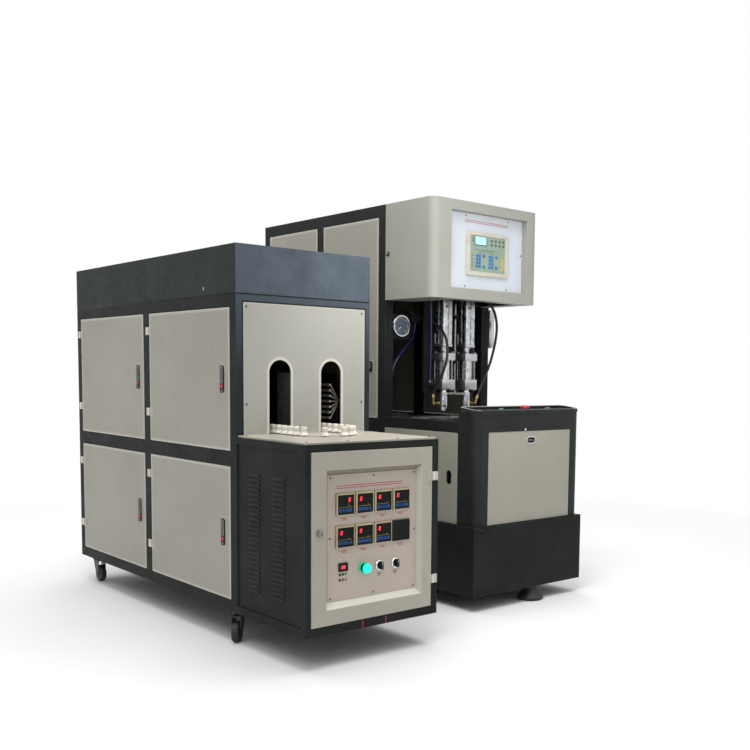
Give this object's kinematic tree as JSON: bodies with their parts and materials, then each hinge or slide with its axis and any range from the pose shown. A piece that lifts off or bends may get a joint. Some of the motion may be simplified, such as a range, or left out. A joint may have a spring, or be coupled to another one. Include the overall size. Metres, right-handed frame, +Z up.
{
  "type": "blow moulding machine",
  "caption": "Semi-automatic stretch blow moulding machine: infrared preform heater on casters beside a two-cavity pneumatic blowing press with controller head.",
  "frame": {"origin": "on the floor, in the middle of the plan of both cabinets together", "axes": "+Z up, +Y towards the back, +X to the right as seen from the operator's side; the heating cabinet is on the left and the press on the right"},
  "size_m": [1.6536, 1.86, 1.696],
  "materials": {
    "frame_black": "satin textured",
    "panel_grey": "satin",
    "hood_slate": "hammered",
    "shelf_cream": "satin",
    "plate_rose": "satin",
    "plate_white": "satin",
    "aluminium": "satin",
    "steel": "brushed",
    "chrome": "polished",
    "brass": "satin",
    "rubber_black": "matte",
    "tyre_black": "matte",
    "plastic_black": "matte",
    "plastic_white": "matte",
    "plastic_green": "gloss",
    "plastic_red": "gloss",
    "plastic_blue": "gloss",
    "lamp_glass": "clear",
    "controller_grey": "matte"
  },
  "bodies": {
    "machine": {"air_filter": "aluminium", "air_hose_left": "rubber_black", "air_hose_right": "rubber_black", "air_tubes": "plastic_blue", "arch_panel": "panel_grey", "base_skirt": "frame_black", "chain_drive": "steel", "clamp_frame": "steel", "console_cabinet": "frame_black", "control_box_panels": "frame_black", "conveyor_chain": "steel", "cylinder_bracket": "frame_black", "door_hinges": "plastic_white", "fixed_panels": "panel_grey", "heat_lamps": "lamp_glass", "heater_frame": "frame_black", "heater_hood": "hood_slate", "lamp_reflectors": "chrome", "levelling_feet": "rubber_black", "mould_front": "aluminium", "preform_holders": "plastic_white", "press_frame": "frame_black", "pressure_gauge": "chrome", "seal_cylinders": "aluminium", "shelf_plate": "shelf_cream", "stretch_cylinders": "aluminium"},
    "control_door": {"control_door": "panel_grey", "control_plate": "plate_rose", "panel_meters": "plastic_black", "panel_fittings": "chrome"},
    "lamp_button": {"lamp_button": "plastic_green"},
    "selector_left": {"selector_left": "plastic_black"},
    "selector_right": {"selector_right": "plastic_black"},
    "door_knob": {"door_knob": "brass"},
    "heater_door_upper_front": {"heater_door_upper_front": "panel_grey"},
    "heater_door_upper_rear": {"heater_door_upper_rear": "panel_grey"},
    "heater_door_lower_front": {"heater_door_lower_front": "panel_grey"},
    "heater_door_lower_rear": {"heater_door_lower_rear": "panel_grey"},
    "press_door_front": {"press_door_front": "panel_grey"},
    "press_door_rear": {"press_door_rear": "panel_grey"},
    "side_access_panel": {"side_access_panel": "panel_grey"},
    "front_access_panel": {"front_access_panel": "panel_grey"},
    "head_cover": {"head_cover": "panel_grey", "head_plate": "plate_white", "controller": "controller_grey"},
    "moving_platen": {"moving_platen": "steel", "mould_rear": "aluminium"},
    "blow_nozzles": {"blow_nozzles": "aluminium"},
    "stretch_rods": {"stretch_rods": "steel"},
    "e_stop": {"e_stop": "plastic_red"},
    "hand_button_left": {"hand_button_left": "plastic_green"},
    "hand_button_right": {"hand_button_right": "plastic_green"},
    "caster_fork_front_left": {"caster_fork_front_left": "steel"},
    "caster_wheel_front_left": {"caster_wheel_front_left": "tyre_black"},
    "caster_fork_front_right": {"caster_fork_front_right": "steel"},
    "caster_wheel_front_right": {"caster_wheel_front_right": "tyre_black"},
    "caster_fork_rear_left": {"caster_fork_rear_left": "steel"},
    "caster_wheel_rear_left": {"caster_wheel_rear_left": "tyre_black"},
    "caster_fork_rear_right": {"caster_fork_rear_right": "steel"},
    "caster_wheel_rear_right": {"caster_wheel_rear_right": "tyre_black"}
  },
  "joints": [
    {"name": "heater_door_upper_front_hinge", "type": "hinge", "parent": "machine", "child": "heater_door_upper_front", "pos_m": [-0.81606, 0.193, 0.9], "axis": [0, 0, -1], "range_deg": [0, 100]},
    {"name": "heater_door_upper_rear_hinge", "type": "hinge", "parent": "machine", "child": "heater_door_upper_rear", "pos_m": [-0.81606, 0.893, 0.9], "axis": [0, 0, -1], "range_deg": [0, 100]},
    {"name": "heater_door_lower_front_hinge", "type": "hinge", "parent": "machine", "child": "heater_door_lower_front", "pos_m": [-0.81606, 0.193, 0.39], "axis": [0, 0, -1], "range_deg": [0, 100]},
    {"name": "heater_door_lower_rear_hinge", "type": "hinge", "parent": "machine", "child": "heater_door_lower_rear", "pos_m": [-0.81606, 0.893, 0.39], "axis": [0, 0, -1], "range_deg": [0, 100]},
    {"name": "control_door_hinge", "type": "hinge", "parent": "machine", "child": "control_door", "pos_m": [-0.27756, -0.923, 0.423], "axis": [0, 0, 1], "range_deg": [0, 110]},
    {"name": "lamp_button_press", "type": "slide", "parent": "control_door", "child": "lamp_button", "axis": [0, 1, 0], "range_m": [0, 0.004], "stiffness_N_per_m": 400, "springref_m": -0.002},
    {"name": "selector_left_turn", "type": "hinge", "parent": "control_door", "child": "selector_left", "pos_m": [-0.49806, -0.896, 0.312], "axis": [0, 1, 0], "range_deg": [-45, 45]},
    {"name": "selector_right_turn", "type": "hinge", "parent": "control_door", "child": "selector_right", "pos_m": [-0.42906, -0.896, 0.312], "axis": [0, 1, 0], "range_deg": [-45, 45]},
    {"name": "door_knob_turn", "type": "hinge", "parent": "control_door", "child": "door_knob", "pos_m": [-0.75706, -0.918, 0.449], "axis": [0, 1, 0], "range_deg": [-90, 0]},
    {"name": "caster_swivel_front_left", "type": "hinge", "parent": "machine", "child": "caster_fork_front_left", "pos_m": [-0.76706, -0.43, 0.1], "axis": [0, 0, 1], "continuous": true},
    {"name": "caster_roll_front_left", "type": "hinge", "parent": "caster_fork_front_left", "child": "caster_wheel_front_left", "pos_m": [-0.7908, -0.45292, 0.03718], "axis": [-0.6947, 0.7193, 0], "continuous": true},
    {"name": "caster_swivel_front_right", "type": "hinge", "parent": "machine", "child": "caster_fork_front_right", "pos_m": [-0.28206, -0.43, 0.1], "axis": [0, 0, 1], "continuous": true},
    {"name": "caster_roll_front_right", "type": "hinge", "parent": "caster_fork_front_right", "child": "caster_wheel_front_right", "pos_m": [-0.29335, -0.46101, 0.03718], "axis": [-0.9397, 0.342, 0], "continuous": true},
    {"name": "caster_swivel_rear_left", "type": "hinge", "parent": "machine", "child": "caster_fork_rear_left", "pos_m": [-0.76706, 0.853, 0.1], "axis": [0, 0, 1], "continuous": true},
    {"name": "caster_roll_rear_left", "type": "hinge", "parent": "caster_fork_rear_left", "child": "caster_wheel_rear_left", "pos_m": [-0.76821, 0.82002, 0.03718], "axis": [-0.9994, 0.0349, 0], "continuous": true},
    {"name": "caster_swivel_rear_right", "type": "hinge", "parent": "machine", "child": "caster_fork_rear_right", "pos_m": [-0.28206, 0.853, 0.1], "axis": [0, 0, 1], "continuous": true},
    {"name": "caster_roll_rear_right", "type": "hinge", "parent": "caster_fork_rear_right", "child": "caster_wheel_rear_right", "pos_m": [-0.27352, 0.82112, 0.03718], "axis": [-0.9659, -0.2588, 0], "continuous": true},
    {"name": "press_door_front_hinge", "type": "hinge", "parent": "machine", "child": "press_door_front", "pos_m": [0.15394, 0.373, 1.2], "axis": [0, 0, -1], "range_deg": [0, 60]},
    {"name": "press_door_rear_hinge", "type": "hinge", "parent": "machine", "child": "press_door_rear", "pos_m": [0.15394, 0.851, 1.2], "axis": [0, 0, -1], "range_deg": [0, 60]},
    {"name": "side_access_panel_hinge", "type": "hinge", "parent": "machine", "child": "side_access_panel", "pos_m": [0.15394, -0.104, 0.54], "axis": [0, 0, -1], "range_deg": [0, 50]},
    {"name": "front_access_panel_hinge", "type": "hinge", "parent": "machine", "child": "front_access_panel", "pos_m": [0.47094, -0.6765, 0.359], "axis": [1, 0, 0], "range_deg": [0, 90]},
    {"name": "head_cover_hinge", "type": "hinge", "parent": "machine", "child": "head_cover", "pos_m": [0.78994, -0.1, 1.48], "axis": [0, 0, 1], "range_deg": [0, 100]},
    {"name": "mould_close", "type": "slide", "parent": "machine", "child": "moving_platen", "axis": [0, -1, 0], "range_m": [0, 0.12]},
    {"name": "nozzle_lower", "type": "slide", "parent": "machine", "child": "blow_nozzles", "axis": [0, 0, -1], "range_m": [0, 0.03], "deforming": ["air_hose_left", "air_hose_right"]},
    {"name": "stretch_lower", "type": "slide", "parent": "machine", "child": "stretch_rods", "axis": [0, 0, -1], "range_m": [0, 0.285]},
    {"name": "e_stop_press", "type": "slide", "parent": "machine", "child": "e_stop", "axis": [0, 0, -1], "range_m": [0, 0.004], "stiffness_N_per_m": 1500, "springref_m": -0.003},
    {"name": "hand_button_left_press", "type": "slide", "parent": "machine", "child": "hand_button_left", "axis": [0, 0, -1], "range_m": [0, 0.005], "stiffness_N_per_m": 500, "springref_m": -0.003},
    {"name": "hand_button_right_press", "type": "slide", "parent": "machine", "child": "hand_button_right", "axis": [0, 0, -1], "range_m": [0, 0.005], "stiffness_N_per_m": 500, "springref_m": -0.003}
  ]
}
